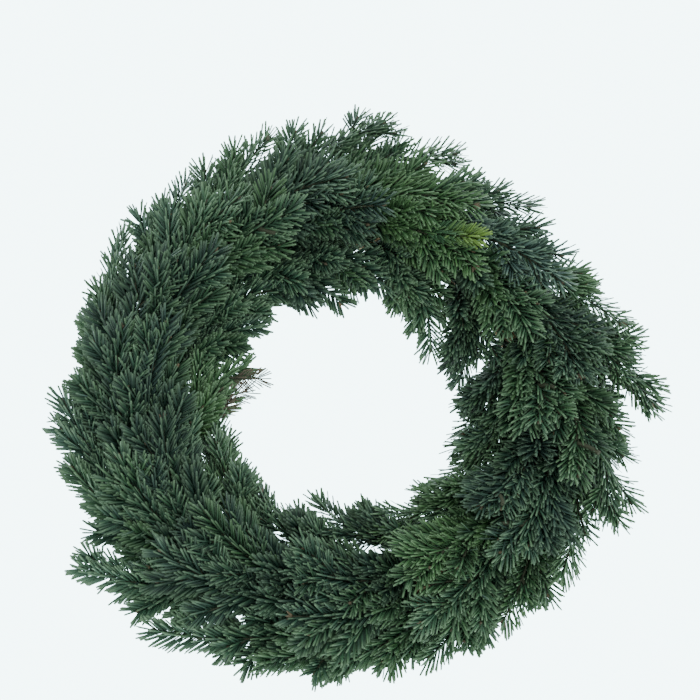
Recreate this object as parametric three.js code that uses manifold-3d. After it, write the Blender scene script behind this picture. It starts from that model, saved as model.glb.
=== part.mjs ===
// A fresh evergreen wreath, lying on its back with its face up: a straw ring with a flat back, sprays of fir
// laid round it clockwise like shingles, and one long binding wire wound round the ring over their stems.
// Millimetres and degrees, +Z to the front of the wreath, origin under the middle of its outline, on the surface.
// Clock angles run anticlockwise from +X, seen from the front. Every spray's tip points the other way, clockwise.
import * as THREE from "three";
import { mergeVertices } from "three/addons/utils/BufferGeometryUtils.js";
import Module from "manifold-3d";

// The straw ring: a round section whose back is pressed flat.
const RING_RADIUS = 200; // to the middle of the section
const STRAW_RADIUS = 25;
const SECTION_HEIGHT = 20; // of the section's centre, so the flat back is 30 wide
const RING_STEPS = 36;
const SECTION_STEPS = 8;

// The binding wire, in one closed winding.
const WIRE_TURNS = 24;
const WIRE_RADIUS = 0.75; // to the corners of its three-sided section
const WIRE_AWAY = 34.4; // from the section's centre, over the stems
const WIRE_HEIGHT = 1.1; // under the flat back, in grooves
const WIRE_SPREAD = 17; // half its straight run under the back
const WIRE_POINTS = 7; // of each turn, above the back
const GROOVE_RADIUS = 3.4;

// Twigs.
const STEM_AWAY = 28; // a stem lies on the straw, under the wire
const STEM_RADIUS = 2.2;
const SIDE_RADIUS = 1.75;
const TIP_RADIUS = 1.5;
const BUTT_PAST_WIRE = 0.3; // of a turn: how far the cut end reaches past the wire that holds it
const STEM_LIES = 19; // length that lies along the straw before the twig rises
const BARE = 40; // stripped length of a stem
const SIDE_BARE = 11; // of a side twig
const SPLIT = 42; // angle between a twig and its side twig
const SIDE_BEND = 0.35; // how far a side twig turns back towards its twig's direction

// Needles: six in a whorl, three of them leaning back and three forward.
const NEEDLE_LENGTH = 22;
const NEEDLE_BASE = 2.2; // half its width at the root
const NEEDLE_TIP = 0.25;
const WHORL_GAP = 24;
const WHORL_BAND = 3; // length of twig that carries a whorl
const LEANS = [60, 38]; // from the twig's direction
const TIP_LEANS = [34, 16];
const LEAN_SPREAD = 10;
const CLEARANCE = 0.45; // between pieces that don't belong together
const STRAW_GAP = 1.5;
const FLOOR_GAP = 0.8;

// What a needle in the way of another tries, in turn: [angle round its twig, change of lean, share of its length].
const BENDS = [
  [0, 0, 1], [14, 0, 1], [-14, 0, 1], [0, 12, 1], [0, -12, 1], [26, 6, 1], [-26, 6, 1], [20, -12, 0.85],
  [-20, -12, 0.85], [0, 14, 0.75], [0, -16, 0.75],
];

// The four rows, from the outer edge to the hole. "butt" is where round the section the stems lie, "sweep" how far
// back along the ring they start, "bow" how late they rise, and "sides" [place along the twig, direction across the
// section, length] of each side twig. Each spray is [clock angle, angle round the section, distance from the
// section's centre] of its tip, and then the length of its first side twig where that isn't the row's.
const ROWS = [
  {
    name: "outer",
    butt: 14,
    sweep: 33,
    bow: 1.3,
    sides: [[0.42, -10, 50]],
    tips: [
      [156, 15, 66, 32], [141, 14, 86, 32], [124, 16, 85, 54], [105, 12, 95], [82, 10, 106, 58], [67, 14, 92, 70],
      [48, 16, 84, 38], [17, 10, 94, 38], [0, 8, 112, 54], [-24, 12, 92, 38], [-39, 10, 82, 56], [-55, 12, 79],
      [-72, 12, 80, 42], [-90, 10, 70, 34], [-106, 10, 80, 36], [-128, 12, 104, 42], [-146, 10, 112, 46],
      [-166, 14, 79, 44], [-181, 12, 80, 40],
    ],
  },
  {
    name: "shoulder",
    butt: 56,
    sweep: 33,
    bow: 1.1,
    sides: [[0.38, -12, 60], [0.5, 165, 50]],
    tips: [
      [163, 62, 64], [142, 66, 64], [117, 62, 64], [89, 66, 66], [56, 56, 68], [28, 44, 70], [4, 56, 66],
      [-20, 44, 68], [-47, 60, 64], [-72, 44, 74], [-102, 54, 66], [-137, 50, 68], [-162, 62, 64],
    ],
  },
  {
    name: "face",
    butt: 98,
    sweep: 36,
    bow: 1.05,
    sides: [[0.42, 192, 56]],
    tips: [
      [158, 100, 64], [131, 96, 66], [104, 95, 68], [78, 92, 68], [44, 104, 68], [18, 94, 66], [-10, 92, 66],
      [-42, 104, 66], [-70, 100, 66], [-104, 96, 66], [-136, 102, 64], [-170, 108, 64],
    ],
  },
  {
    name: "inner",
    butt: 152,
    sweep: 42,
    bow: 0.95,
    sides: [[0.42, 184, 48]],
    tips: [
      [158, 170, 96], [136, 166, 86], [112, 164, 74], [91, 172, 90], [65, 166, 76], [34, 175, 93, 40], [12, 168, 82],
      [-14, 170, 76], [-42, 172, 76], [-70, 164, 80], [-103, 175, 96], [-131, 168, 78], [-162, 170, 80],
    ],
  },
];

const wasm = await Module();
wasm.setup();

const radians = THREE.MathUtils.degToRad;
const FRONT = new THREE.Vector3(0, 0, 1);

// A number from 0 to 1 that is always the same for the same place n in the order.
function chance(n) {
  const mixed = Math.sin(n * 12.9898 + 4.1414) * 43758.5453;
  return mixed - Math.floor(mixed);
}

// The point beside the ring at a clock angle, an angle round the section (0 outwards, 90 to the front, 180
// inwards) and a distance from the section's centre.
function besideRing(clock, around, away) {
  const out = RING_RADIUS + away * Math.cos(radians(around));
  const height = SECTION_HEIGHT + away * Math.sin(radians(around));
  return new THREE.Vector3(out * Math.cos(radians(clock)), out * Math.sin(radians(clock)), height);
}

class Path extends THREE.Curve {
  constructor(pointAt) {
    super();
    this.pointAt = pointAt;
  }
  getPoint(t) {
    return this.pointAt(t);
  }
}

// ---- Solids from rings of three corners, each ring turned by half a corner from the last ----

// The ring of three corners round a station {point, along, facing, radius}, turned by its number.
function corners(station, number) {
  const side = station.facing.clone().addScaledVector(station.along, -station.facing.dot(station.along));
  side.normalize();
  const other = new THREE.Vector3().crossVectors(station.along, side);
  return [0, 1, 2].map((i) => {
    const turn = radians(60 * number + 120 * i);
    return station.point.clone()
      .addScaledVector(side, station.radius * Math.cos(turn))
      .addScaledVector(other, station.radius * Math.sin(turn));
  });
}

// The six three-cornered faces between two rings: three that stand on the first, and three that hang from the next.
function facesBetween(a, b) {
  return [0, 1, 2].flatMap((i) => {
    const next = (i + 1) % 3;
    return [[a[i], a[next], b[i]], [a[next], b[next], b[i]]];
  });
}

function raised([p, q, r], tip) {
  return [[p, q, tip], [q, r, tip], [r, p, tip]];
}

function geometryOf(faces) {
  const numbers = faces.flat().flatMap((v) => [v.x, v.y, v.z]);
  const geometry = new THREE.BufferGeometry();
  geometry.setAttribute("position", new THREE.Float32BufferAttribute(numbers, 3));
  return mergeVertices(geometry, 1e-4);
}

function solidOf(geometry) {
  const plain = new THREE.BufferGeometry();
  plain.setAttribute("position", geometry.getAttribute("position"));
  plain.setIndex(geometry.index);
  const merged = mergeVertices(plain, 1e-4);
  return new wasm.Manifold(new wasm.Mesh({
    numProp: 3,
    vertProperties: merged.attributes.position.array,
    triVerts: new Uint32Array(merged.index.array),
  }));
}

function meshOf(name, solid, material) {
  const { vertProperties, triVerts, numProp } = solid.getMesh();
  const numbers = [];
  for (let i = 0; i < vertProperties.length; i += numProp) numbers.push(...vertProperties.slice(i, i + 3));
  const geometry = new THREE.BufferGeometry();
  geometry.setAttribute("position", new THREE.Float32BufferAttribute(numbers, 3));
  geometry.setIndex([...triVerts]);
  geometry.computeVertexNormals();
  const mesh = new THREE.Mesh(geometry, material);
  mesh.name = name;
  return mesh;
}

// ---- The binding wire and the straw ring ----

// The points of one turn of the wire: under the back, up round the outside and over the front.
function wireTurn(turn) {
  const pitch = 360 / WIRE_TURNS;
  const under = (share, offset) => {
    const out = RING_RADIUS + offset;
    const clock = radians((turn + share) * pitch);
    return new THREE.Vector3(out * Math.cos(clock), out * Math.sin(clock), WIRE_HEIGHT);
  };
  const over = Array.from({ length: WIRE_POINTS }, (_, i) => {
    const around = -24 + (i * 228) / (WIRE_POINTS - 1);
    return besideRing((turn + around / 360) * pitch, around, WIRE_AWAY);
  });
  return [under(-0.2, -WIRE_SPREAD), under(-0.14, WIRE_SPREAD), ...over];
}

const wirePoints = Array.from({ length: WIRE_TURNS }, (_, turn) => wireTurn(turn)).flat();

function wireSolid() {
  const count = wirePoints.length;
  const rings = wirePoints.map((point, i) => {
    const before = wirePoints[(i + count - 1) % count];
    const after = wirePoints[(i + 1) % count];
    const along = after.clone().sub(before).normalize();
    const facing = new THREE.Vector3(-point.y, point.x, 0).normalize();
    return corners({ point, along, facing, radius: WIRE_RADIUS }, i);
  });
  const first = rings[0];
  const shift = (count / 2) % 3; // the last turn's corners have gone round by this many
  rings.push([0, 1, 2].map((i) => first[(i + shift) % 3]));
  const faces = rings.slice(1).flatMap((ring, i) => facesBetween(rings[i], ring));
  return solidOf(geometryOf(faces));
}

function strawSolid() {
  const flat = THREE.MathUtils.radToDeg(Math.asin(SECTION_HEIGHT / STRAW_RADIUS));
  const section = Array.from({ length: SECTION_STEPS + 1 }, (_, i) => {
    const around = radians(-flat + (i * (180 + 2 * flat)) / SECTION_STEPS);
    const height = SECTION_HEIGHT + STRAW_RADIUS * Math.sin(around);
    const out = RING_RADIUS + STRAW_RADIUS * Math.cos(around);
    return new THREE.Vector2(out, Math.abs(height) < 1e-6 ? 0 : height);
  });
  const lathe = new THREE.LatheGeometry([...section, section[0]], RING_STEPS);
  lathe.rotateX(Math.PI / 2);
  let straw = solidOf(lathe);
  const between = WIRE_POINTS + 2;
  for (let turn = 0; turn < WIRE_TURNS; turn++) {
    const [inside, outside] = wirePoints.slice(turn * between, turn * between + 2);
    straw = straw.subtract(grooveSolid(inside, outside));
  }
  return straw;
}

// What the wire's run under the back cuts out of the straw: a four-sided bar, longer than the flat back is wide.
function grooveSolid(inside, outside) {
  const length = inside.distanceTo(outside);
  const bar = new THREE.CylinderGeometry(GROOVE_RADIUS, GROOVE_RADIUS, length, 4);
  bar.rotateY(Math.PI / 4);
  bar.rotateZ(-Math.PI / 2);
  const run = outside.clone().sub(inside);
  bar.rotateZ(Math.atan2(run.y, run.x));
  const middle = inside.clone().add(outside).multiplyScalar(0.5);
  bar.translate(middle.x, middle.y, 0);
  return solidOf(bar);
}

// ---- Sprays: a stem that lies under the wire and then rises, with one or two side twigs ----

// The main twig, from its cut end to its tip. The turn of wire nearest to the right distance back holds it.
function mainPath(row, [clock, around, away]) {
  const pitch = 360 / WIRE_TURNS;
  const held = Math.round((clock + row.sweep) / pitch - row.butt / 360) + row.butt / 360;
  const start = (held + BUTT_PAST_WIRE) * pitch;
  const reach = radians(start - clock) * besideRing(0, row.butt, 2 * STEM_AWAY).x;
  const rises = STEM_LIES / reach;
  return new Path((t) => {
    const rise = Math.pow(Math.max(0, (t - rises) / (1 - rises)), row.bow);
    return besideRing(
      THREE.MathUtils.lerp(start, clock, t),
      THREE.MathUtils.lerp(row.butt, around, rise),
      THREE.MathUtils.lerp(STEM_AWAY, away, rise),
    );
  });
}

// A side twig: leaves the main one at an angle, towards a direction across the section, and bends forward.
function sidePath(main, place, across, length) {
  const start = main.getPointAt(place);
  const along = main.getTangentAt(place);
  const clock = Math.atan2(start.y, start.x);
  const out = new THREE.Vector3(Math.cos(clock), Math.sin(clock), 0).multiplyScalar(Math.cos(radians(across)));
  out.z = Math.sin(radians(across));
  out.addScaledVector(along, -out.dot(along)).normalize();
  const away = out.multiplyScalar(Math.sin(radians(SPLIT))).addScaledVector(along, Math.cos(radians(SPLIT)));
  return new Path((t) => {
    const bent = length * t * t * SIDE_BEND * 0.5;
    return start.clone().addScaledVector(away, length * t - bent).addScaledVector(along, bent);
  });
}

// A twig is a path with stations along it: pairs that carry a whorl, bare twig between, and a point at the end.
// Its spine is the chain of bars from station to station, which everything else keeps clear of.
function twigOf(path, bare, thick) {
  const length = path.getLength();
  const at = (s, whorl) => {
    const u = Math.min(1, s / length);
    const radius = THREE.MathUtils.lerp(thick, TIP_RADIUS, u);
    return { point: path.getPointAt(u), along: path.getTangentAt(u), facing: FRONT, radius, whorl };
  };
  const last = length - 2 * WHORL_BAND;
  const whorls = Math.max(2, Math.round((last - bare) / WHORL_GAP) + 1);
  const starts = Array.from({ length: whorls }, (_, i) => THREE.MathUtils.lerp(bare, last, i / (whorls - 1)));
  const stem = bare > STEM_LIES ? [0, STEM_LIES] : [0];
  const stations = [
    ...stem.map((s) => at(s, false)),
    ...starts.flatMap((s) => [at(s, true), at(s + WHORL_BAND, false)]),
    at(length, false),
  ];
  const spine = stations.slice(1).map((to, i) => bar(stations[i].point, to.point, stations[i].radius, to.radius));
  return { stations, spine };
}

function sprayTwigs(row, tip) {
  const main = mainPath(row, tip);
  const sides = row.sides.map(([place, across, length], i) => {
    const path = sidePath(main, place, across, (i === 0 && tip[3]) || length);
    return twigOf(path, SIDE_BARE, SIDE_RADIUS);
  });
  return [twigOf(main, BARE, STEM_RADIUS), ...sides];
}

// ---- Keeping clear ----

function bar(from, to, fromRadius, toRadius) {
  const middle = from.clone().add(to).multiplyScalar(0.5);
  const reach = from.distanceTo(to) / 2 + Math.max(fromRadius, toRadius);
  return { from, to, fromRadius, toRadius, middle, reach };
}

const thicknessAt = ({ fromRadius, toRadius }, t) => THREE.MathUtils.lerp(fromRadius, toRadius, t);

// Whether two tapering bars are at least a gap apart, measured where their middle lines come closest.
function barsClear(a, b, gap) {
  if (a.middle.distanceTo(b.middle) > a.reach + b.reach + gap) return true;
  const u = a.to.clone().sub(a.from);
  const v = b.to.clone().sub(b.from);
  const w = a.from.clone().sub(b.from);
  const uu = u.lengthSq();
  const vv = v.lengthSq();
  const uv = u.dot(v);
  const slant = uu * vv - uv * uv;
  const inBar = (x) => THREE.MathUtils.clamp(x, 0, 1);
  const guess = slant > 1e-9 ? inBar((uv * v.dot(w) - vv * u.dot(w)) / slant) : 0;
  const t = inBar((uv * guess + v.dot(w)) / vv);
  const s = inBar((uv * t - u.dot(w)) / uu);
  const between = w.addScaledVector(u, s).addScaledVector(v, -t).length();
  return between >= thicknessAt(a, s) + thicknessAt(b, t) + gap;
}

const allClear = (one, others, gap) => others.every((other) => barsClear(one, other, gap));

const wireBars = wirePoints.map((point, i) => {
  return bar(point, wirePoints[(i + 1) % wirePoints.length], WIRE_RADIUS, WIRE_RADIUS);
});

function clearOfStraw(needle) {
  return [0.35, 0.7, 1].every((t) => {
    const p = needle.from.clone().lerp(needle.to, t);
    const away = Math.hypot(Math.hypot(p.x, p.y) - RING_RADIUS, p.z - SECTION_HEIGHT);
    return away > STRAW_RADIUS + STRAW_GAP;
  });
}

// ---- Growing the needles ----

// The needle that grows from a face: at its own lean first, then bent or shortened until it is clear, or none.
// Its outer part keeps clear of its own spray too, where the inner part springs from.
function needleFrom(face, station, lean, length, others, kin) {
  const root = face[0].clone().add(face[1]).add(face[2]).multiplyScalar(1 / 3);
  const outward = root.clone().sub(station.point);
  outward.addScaledVector(station.along, -outward.dot(station.along)).normalize();
  for (const [turn, tilt, share] of BENDS) {
    const facing = outward.clone().applyAxisAngle(station.along, radians(turn));
    const angle = radians(lean + tilt);
    const way = facing.multiplyScalar(Math.sin(angle)).addScaledVector(station.along, Math.cos(angle));
    const tip = root.clone().addScaledVector(way, length * share);
    const whole = bar(root, tip, NEEDLE_BASE, NEEDLE_TIP);
    const outer = bar(root.clone().lerp(tip, 0.35), tip, 0.55 * NEEDLE_BASE, NEEDLE_TIP);
    const free = tip.z > FLOOR_GAP && clearOfStraw(whole) && allClear(whole, others, CLEARANCE);
    if (free && allClear(outer, kin, CLEARANCE)) return { whole, outer, tip };
  }
  return null;
}

// The needles of one whorl, from the faces of its band. A face with no room for a needle stays flat.
function growWhorl(band, station, atTip, order, others, kin) {
  const leans = atTip ? TIP_LEANS : LEANS;
  const faces = [];
  const needles = [];
  band.forEach((face, i) => {
    const luck = chance(order + i);
    const lean = leans[i % 2] + LEAN_SPREAD * (luck - 0.5);
    const length = NEEDLE_LENGTH * (0.84 + 0.26 * luck) * (atTip ? 0.85 : 1);
    const needle = needleFrom(face, station, lean, length, others, [...kin, ...needles.map((grown) => grown.outer)]);
    if (needle) needles.push(needle);
    faces.push(...(needle ? raised(face, needle.tip) : [face]));
  });
  return { faces, needles };
}

function growTwig({ stations }, order, others, kin) {
  const rings = stations.slice(0, -1).map(corners);
  const lastRing = rings.at(-1);
  const end = stations.at(-1).point;
  const faces = [[rings[0][0], rings[0][2], rings[0][1]]];
  const needles = [];
  for (let k = 0; k + 1 < rings.length; k++) {
    const band = facesBetween(rings[k], rings[k + 1]);
    if (!stations[k].whorl) {
      faces.push(...band);
      continue;
    }
    const inTheWay = [...kin, ...needles.map((grown) => grown.outer)];
    const whorl = growWhorl(band, stations[k], k + 2 === rings.length, order * 131 + k * 17, others, inTheWay);
    faces.push(...whorl.faces);
    needles.push(...whorl.needles);
  }
  faces.push(...[0, 1, 2].map((i) => [lastRing[i], lastRing[(i + 1) % 3], end]));
  return { solid: solidOf(geometryOf(faces)), needles };
}

// Every spray as one solid. A spray's needles keep clear of all the twigs, and of the needles grown before them.
function growSprays(sprays) {
  const spines = sprays.map(({ twigs }) => twigs.flatMap((twig) => twig.spine));
  const grown = [];
  sprays.forEach((spray, n) => {
    const others = [...wireBars, ...spines.filter((_, i) => i !== n).flat(), ...grown];
    const needles = [];
    const parts = spray.twigs.map((twig, i) => {
      const sisters = spray.twigs.filter((other) => other !== twig).flatMap((other) => other.spine);
      const kin = [...sisters, ...needles.map((needle) => needle.outer)];
      const made = growTwig(twig, n * 3 + i, others, kin);
      needles.push(...made.needles);
      return made.solid;
    });
    spray.solid = parts.reduce((sum, part) => sum.add(part));
    grown.push(...needles.map((needle) => needle.whole));
  });
}

// ---- The wreath ----

const fir = new THREE.MeshStandardMaterial({ color: 0x2f5a38, roughness: 0.5, metalness: 0 });
const straw = new THREE.MeshStandardMaterial({ color: 0xc2a05f, roughness: 0.85, metalness: 0 });
const wire = new THREE.MeshStandardMaterial({ color: 0x3a4438, roughness: 0.4, metalness: 0.8 });

const sprays = ROWS.flatMap((row) => row.tips.map((tip, i) => {
  return { name: `fir_spray_${row.name}_${String(i + 1).padStart(2, "0")}`, twigs: sprayTwigs(row, tip) };
}));
growSprays(sprays);

const pieces = new THREE.Group();
pieces.add(meshOf("straw_ring", strawSolid(), straw));
pieces.add(meshOf("binding_wire", wireSolid(), wire));
for (const spray of sprays) pieces.add(meshOf(spray.name, spray.solid, fir));

// The origin goes under the middle of the whole outline.
const outline = new THREE.Box3().setFromObject(pieces);
const middle = outline.getCenter(new THREE.Vector3());
pieces.position.set(-middle.x, -middle.y, -outline.min.z);

const wreath = new THREE.Group();
wreath.add(pieces);
export default wreath;
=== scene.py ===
# %% [markdown]
# # A fresh evergreen wreath
# Fir sprays lie round a straw ring like shingles, all pointing clockwise, and one long wire binds them on.
# The wreath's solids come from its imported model, and this script dresses them: each spray solid, which has
# some fifty thick needles, gives way to a spray with nearly a thousand fine ones, on brown twigs with buds
# and cut ends. Everything is in metres, in the model's own frame, so nothing has to be fitted.

# %% The frame
import math

import bpy
import numpy as np
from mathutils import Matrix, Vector


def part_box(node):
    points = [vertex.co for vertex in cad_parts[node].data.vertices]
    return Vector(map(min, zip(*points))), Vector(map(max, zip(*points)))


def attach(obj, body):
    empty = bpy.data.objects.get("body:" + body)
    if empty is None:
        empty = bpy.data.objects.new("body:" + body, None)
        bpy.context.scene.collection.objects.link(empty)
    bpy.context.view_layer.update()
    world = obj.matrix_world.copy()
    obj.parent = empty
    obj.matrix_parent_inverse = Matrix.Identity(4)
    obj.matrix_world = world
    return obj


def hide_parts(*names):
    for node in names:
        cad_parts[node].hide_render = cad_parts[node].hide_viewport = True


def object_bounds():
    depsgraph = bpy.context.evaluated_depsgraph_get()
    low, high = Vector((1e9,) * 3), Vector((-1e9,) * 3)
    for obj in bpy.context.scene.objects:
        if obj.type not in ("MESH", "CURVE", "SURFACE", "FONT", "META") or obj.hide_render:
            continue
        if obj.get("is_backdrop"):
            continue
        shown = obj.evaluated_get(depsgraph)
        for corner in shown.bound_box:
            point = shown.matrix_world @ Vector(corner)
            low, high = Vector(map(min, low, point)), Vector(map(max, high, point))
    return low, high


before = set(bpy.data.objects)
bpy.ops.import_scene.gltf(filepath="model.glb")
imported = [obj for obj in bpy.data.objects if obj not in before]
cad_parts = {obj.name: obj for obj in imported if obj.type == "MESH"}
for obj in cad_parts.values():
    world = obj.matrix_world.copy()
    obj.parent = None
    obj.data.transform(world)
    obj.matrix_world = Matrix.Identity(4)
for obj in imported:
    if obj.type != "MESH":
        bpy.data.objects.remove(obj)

MM = 0.001
CAD_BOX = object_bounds()
print("nodes", len(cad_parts), "box", [tuple(round(x / MM) for x in corner) for corner in CAD_BOX])

# %% [markdown]
# ## The camera
# The photograph looks at the wreath's face from a little below its middle, which for a wreath that lies on
# its back is a camera high over its lower edge. Where the ring's middle shows in the picture, and how wide
# the picture is where the wreath lies, are enough to place it: a long lens stands far off, so the wreath
# keeps its round shape.

# %% The camera
RING_LOW, RING_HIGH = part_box("straw_ring")
RING_CENTRE = (RING_LOW + RING_HIGH) / 2
VIEW_TILT = math.radians(20)  # from straight down
LENS = 300
SENSOR = 36
PICTURE_PIXELS = 700
PICTURE_WIDTH = 0.7  # where the wreath lies
RING_PIXEL_X = 342
RING_PIXEL_Y = 403
MIDDLE_HEIGHT = 0.04  # of the foliage, where the ring's centre is measured

pixel = PICTURE_WIDTH / PICTURE_PIXELS
screen_up = Vector((0, math.cos(VIEW_TILT), math.sin(VIEW_TILT)))
look = Vector((0, math.sin(VIEW_TILT), -math.cos(VIEW_TILT)))
aim = Vector((RING_CENTRE.x, RING_CENTRE.y, MIDDLE_HEIGHT))
aim.x += (PICTURE_PIXELS / 2 - RING_PIXEL_X) * pixel
aim += screen_up * (RING_PIXEL_Y - PICTURE_PIXELS / 2) * pixel
distance = PICTURE_WIDTH * LENS / SENSOR

camera = bpy.data.objects.new("camera", bpy.data.cameras.new("camera"))
bpy.context.scene.collection.objects.link(camera)
camera.data.lens = LENS
camera.data.sensor_width = SENSOR
camera.rotation_euler = (VIEW_TILT, 0, 0)
camera.location = aim - look * distance
bpy.context.scene.camera = camera
print("camera", tuple(round(x, 3) for x in camera.location))

# %% [markdown]
# ## Where the twigs run
# A maker lays each spray with its cut end under the wire and lets its tip rise off the ring. The solids were
# laid out by four rows of tips, and the same rows are used here, so that each fine spray lies along its
# solid. A point beside the ring is given by a clock angle, an angle round the ring's section and a distance
# from the section's centre. In these, angles are in degrees and lengths in millimetres.

# %% The rows of sprays
STRAW_RADIUS = 25 * MM
RING_RADIUS = 200 * MM
SECTION_HEIGHT = 20 * MM
STEM_AWAY = 28  # from the section's centre, where the stem lies on the straw
STEM_LIES = 19  # of its length, before it rises
WIRE_TURNS = 24
BUTT_PAST_WIRE = 0.3  # of the way from one turn of wire to the next

# "butt" is where round the section the stems lie, "sweep" how far back they start, "bow" how late they rise,
# "sides" [place, direction across the section, length] of side twigs, and "tips" [clock, angle round the
# section, distance from the section's centre] and the first side twig's length where it isn't the row's.
ROWS = {
    "outer": dict(
        butt=14, sweep=33, bow=1.3, sides=[(0.42, -10, 50)],
        tips=[
            (156, 15, 66, 32), (141, 14, 86, 32), (124, 16, 85, 54), (105, 12, 95), (82, 10, 106, 58),
            (67, 14, 92, 70), (48, 16, 84, 38), (17, 10, 94, 38), (0, 8, 112, 54), (-24, 12, 92, 38),
            (-39, 10, 82, 56), (-55, 12, 79), (-72, 12, 80, 42), (-90, 10, 70, 34), (-106, 10, 80, 36),
            (-128, 12, 104, 42), (-146, 10, 112, 46), (-166, 14, 79, 44), (-181, 12, 80, 40),
        ],
    ),
    "shoulder": dict(
        butt=56, sweep=33, bow=1.1, sides=[(0.38, -12, 60), (0.5, 165, 50)],
        tips=[
            (163, 62, 64), (142, 66, 64), (117, 62, 64), (89, 66, 66), (56, 56, 68), (28, 44, 70),
            (4, 56, 66), (-20, 44, 68), (-47, 60, 64), (-72, 44, 74), (-102, 54, 66), (-137, 50, 68),
            (-162, 62, 64),
        ],
    ),
    "face": dict(
        butt=98, sweep=36, bow=1.05, sides=[(0.42, 192, 56)],
        tips=[
            (158, 100, 64), (131, 96, 66), (104, 95, 68), (78, 92, 68), (44, 104, 68), (18, 94, 66),
            (-10, 92, 66), (-42, 104, 66), (-70, 100, 66), (-104, 96, 66), (-136, 102, 64), (-170, 108, 64),
        ],
    ),
    "inner": dict(
        butt=152, sweep=42, bow=0.95, sides=[(0.42, 184, 48)],
        tips=[
            (158, 170, 96), (136, 166, 86), (112, 164, 74), (91, 172, 90), (65, 166, 76), (34, 175, 93, 40),
            (12, 168, 82), (-14, 170, 76), (-42, 172, 76), (-70, 164, 80), (-103, 175, 96),
            (-131, 168, 78), (-162, 170, 80),
        ],
    ),
}


def unit(v):
    return v / np.maximum(np.linalg.norm(v, axis=-1, keepdims=True), 1e-12)


def dot(a, b):
    return np.sum(a * b, axis=-1, keepdims=True)


def lerp(a, b, t):
    return a + (b - a) * t


def beside_ring(clock, around, away):
    clock, around = np.radians(clock), np.radians(around)
    out = RING_RADIUS + away * MM * np.cos(around)
    place = [RING_CENTRE.x + out * np.cos(clock), RING_CENTRE.y + out * np.sin(clock)]
    return np.stack([*place, SECTION_HEIGHT + away * MM * np.sin(around)], axis=-1)


def section_centre(points):
    """The middle of the ring's section nearest to each point."""
    flat = points - np.array([RING_CENTRE.x, RING_CENTRE.y, 0])
    flat[..., 2] = 0
    return unit(flat) * RING_RADIUS + np.array([RING_CENTRE.x, RING_CENTRE.y, SECTION_HEIGHT])


print("sprays in each row", {name: len(row["tips"]) for name, row in ROWS.items()})

# %% [markdown]
# A twig is kept as points evenly spaced along it, with the direction that it runs in and the side that faces
# the light. Fir needles turn their glossy sides to the light, so that side matters as much as the twig's own
# line: it is a mix of straight off the ring and straight up.

# %% Twigs as evenly spaced points
TWIG_POINTS = 61
OFF_RING = 0.7
STRAIGHT_UP = np.array([0, 0, 0.75])
MAIN_THICK, MAIN_THIN = 2.1 * MM, 0.9 * MM  # radius at the cut end and at the tip
MAIN_BARE = 7 * MM  # without needles, from the cut end
SIDE_THICK, SIDE_THIN = 1.5 * MM, 0.8 * MM
SIDE_BARE = 6 * MM
SPLIT = math.radians(42)  # between a main twig and its side twigs
SIDE_BEND = 0.35  # of a side twig, back along the main one


class Twig:
    def __init__(self, points, thick, thin, bare):
        steps = np.linalg.norm(np.diff(points, axis=0), axis=1)
        along = np.concatenate([[0], np.cumsum(steps)])
        even = np.linspace(0, along[-1], TWIG_POINTS)
        self.points = np.stack([np.interp(even, along, points[:, i]) for i in range(3)], axis=-1)
        self.length = along[-1]
        self.thick, self.thin, self.bare = thick, thin, bare
        self.runs = unit(np.gradient(self.points, axis=0))
        off = unit(self.points - section_centre(self.points))
        facing = off * OFF_RING + STRAIGHT_UP
        self.sky = unit(facing - self.runs * dot(facing, self.runs))

    def bow(self, offset):
        """Bows the twig sideways, most in its outer half, and leaves its root where it is."""
        t = np.linspace(0, 1, TWIG_POINTS)[:, None]
        self.points = self.points + offset * t * t * (2.2 - 1.2 * t)
        self.runs = unit(np.gradient(self.points, axis=0))
        self.sky = unit(self.sky - self.runs * dot(self.sky, self.runs))

    def at(self, distance):
        """Point, direction and light side at distances along the twig."""
        place = np.clip(np.asarray(distance) / self.length, 0, 1) * (TWIG_POINTS - 1)
        low = np.minimum(place.astype(int), TWIG_POINTS - 2)
        share = (place - low)[..., None]
        found = [lerp(a[low], a[low + 1], share) for a in (self.points, self.runs, self.sky)]
        return found[0], unit(found[1]), unit(found[2])


def main_twig(row, tip):
    clock, around, away = tip[:3]
    pitch = 360 / WIRE_TURNS
    butt_share = row["butt"] / 360
    held = math.floor((clock + row["sweep"]) / pitch - butt_share + 0.5) + butt_share
    start = (held + BUTT_PAST_WIRE) * pitch
    arm = RING_RADIUS / MM + 2 * STEM_AWAY * math.cos(math.radians(row["butt"]))
    rises = STEM_LIES / (math.radians(start - clock) * arm)
    t = np.linspace(0, 1, 2 * TWIG_POINTS)
    rise = np.maximum(0, (t - rises) / (1 - rises)) ** row["bow"]
    points = beside_ring(lerp(start, clock, t), lerp(row["butt"], around, rise), lerp(STEM_AWAY, away, rise))
    return Twig(points, MAIN_THICK, MAIN_THIN, MAIN_BARE)


def side_twig(main, place, across, length, bend=SIDE_BEND, split=SPLIT):
    start, along, _ = main.at(place * main.length)
    clock = math.atan2(start[1] - RING_CENTRE.y, start[0] - RING_CENTRE.x)
    across = math.radians(across)
    flat = math.cos(across)
    out = np.array([math.cos(clock) * flat, math.sin(clock) * flat, math.sin(across)])
    out = unit(out - along * dot(out, along))
    away = out * math.sin(split) + along * math.cos(split)
    t = np.linspace(0, 1, TWIG_POINTS)[:, None]
    bent = length * MM * t * t * bend * 0.5
    return Twig(start + away * (length * MM * t - bent) + along * bent, SIDE_THICK, SIDE_THIN, SIDE_BARE)


example = main_twig(ROWS["outer"], ROWS["outer"]["tips"][8])
print("outer twig 9:", round(example.length / MM), "mm, tip", [round(x / MM) for x in example.points[-1]])

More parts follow.
